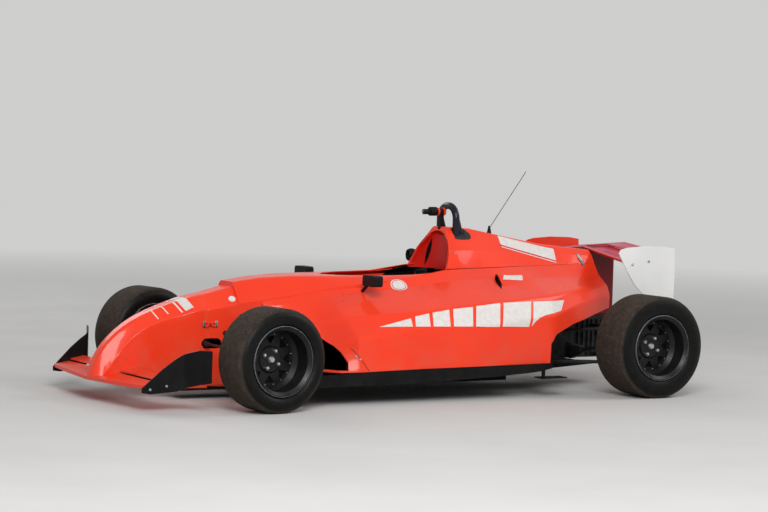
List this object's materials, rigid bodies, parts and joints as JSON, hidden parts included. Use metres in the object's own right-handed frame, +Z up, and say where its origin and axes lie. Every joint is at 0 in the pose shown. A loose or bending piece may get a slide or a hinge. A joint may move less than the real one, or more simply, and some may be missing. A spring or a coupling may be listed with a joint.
{
  "type": "open wheel racing car",
  "caption": "Single-seat racing car with exposed wheels, front and rear wings, a roll hoop, steering and turning wheels.",
  "frame": {"origin": "on the ground, at mid-length and mid-width of the car", "axes": "+X towards the nose, +Y to the driver's left, +Z up"},
  "size_m": [3.468, 1.7428, 1.2361],
  "materials": {
    "orange_paint": "fluorescent orange-red gloss paint",
    "black_composite": "satin black composite",
    "white_paint": "gloss white paint",
    "dark_blue_paint": "dark blue-black satin paint",
    "wheel_paint": "satin black wheel paint",
    "tyre_rubber": "matt racing rubber",
    "iron": "machined iron",
    "alloy": "cast and machined alloy",
    "steel_tube": "plated steel tube",
    "exhaust_steel": "heat-tinted steel",
    "seat_fabric": "black padded shell",
    "grip": "black suede grip",
    "black_plastic": "black plastic",
    "red_lens": "red lens"
  },
  "bodies": {
    "chassis": {"antenna": "black_plastic", "cockpit_cowl": "orange_paint", "driveshafts": "steel_tube", "engine": "alloy", "engine_cover": "orange_paint", "exhaust": "exhaust_steel", "floor": "black_composite", "front_wing": "orange_paint", "front_wing_endplates": "black_composite", "front_wing_flaps": "orange_paint", "front_wishbones": "steel_tube", "gearbox": "alloy", "mirrors": "orange_paint", "monocoque": "orange_paint", "nose_cone": "orange_paint", "onboard_camera": "black_plastic", "radiators": "alloy", "rain_light": "red_lens", "rear_uprights": "alloy", "rear_wing": "orange_paint", "rear_wing_endplates": "white_paint", "rear_wing_flap": "orange_paint", "rear_wing_pylon": "orange_paint", "rear_wishbones": "steel_tube", "roll_hoop": "dark_blue_paint", "seat": "seat_fabric", "sidepod_left": "orange_paint", "sidepod_right": "orange_paint", "steering_rack_housing": "alloy"},
    "left_knuckle": {"front_left_upright": "alloy"},
    "front_left_wheel": {"front_left_rim": "wheel_paint", "front_left_tyre": "tyre_rubber", "front_left_brake_disc": "iron"},
    "rear_left_wheel": {"rear_left_rim": "wheel_paint", "rear_left_tyre": "tyre_rubber", "rear_left_brake_disc": "iron"},
    "right_knuckle": {"front_right_upright": "alloy"},
    "front_right_wheel": {"front_right_rim": "wheel_paint", "front_right_tyre": "tyre_rubber", "front_right_brake_disc": "iron"},
    "rear_right_wheel": {"rear_right_rim": "wheel_paint", "rear_right_tyre": "tyre_rubber", "rear_right_brake_disc": "iron"},
    "steering_wheel": {"steering_wheel": "grip"},
    "steering_rack": {"steering_rack": "steel_tube"}
  },
  "joints": [
    {"name": "steering_wheel_turn", "type": "hinge", "parent": "chassis", "child": "steering_wheel", "pos_m": [0.19, 0, 0.505], "axis": [-0.9703, 0, 0.2419], "range_deg": [-245, 115]},
    {"name": "left_wheel_steer", "type": "hinge", "parent": "chassis", "child": "left_knuckle", "pos_m": [1.04, 0.618, 0.27], "axis": [0, 0, 1], "range_deg": [-24.5, 11.5]},
    {"name": "front_left_wheel_spin", "type": "hinge", "parent": "left_knuckle", "child": "front_left_wheel", "pos_m": [1.02732, 0.72928, 0.27], "axis": [-0.1132, 0.9936, 0], "continuous": true},
    {"name": "rear_left_wheel_spin", "type": "hinge", "parent": "chassis", "child": "rear_left_wheel", "pos_m": [-1.385, 0.717, 0.285], "axis": [0, 1, 0], "continuous": true},
    {"name": "right_wheel_steer", "type": "hinge", "parent": "chassis", "child": "right_knuckle", "pos_m": [1.04, -0.618, 0.27], "axis": [0, 0, 1], "range_deg": [-24.5, 11.5]},
    {"name": "front_right_wheel_spin", "type": "hinge", "parent": "right_knuckle", "child": "front_right_wheel", "pos_m": [1.05268, -0.72928, 0.27], "axis": [-0.1132, 0.9936, 0], "continuous": true},
    {"name": "rear_right_wheel_spin", "type": "hinge", "parent": "chassis", "child": "rear_right_wheel", "pos_m": [-1.385, -0.717, 0.285], "axis": [0, 1, 0], "continuous": true},
    {"name": "rack_travel", "type": "slide", "parent": "chassis", "child": "steering_rack", "axis": [0, 1, 0], "range_m": [-0.0325, 0.0155]}
  ],
  "couplings": [
    {"joint": "left_wheel_steer", "follows": "steering_wheel_turn", "ratio": 0.1},
    {"joint": "right_wheel_steer", "follows": "steering_wheel_turn", "ratio": 0.1},
    {"joint": "rack_travel", "follows": "steering_wheel_turn", "m_per_rad": 0.0075}
  ]
}
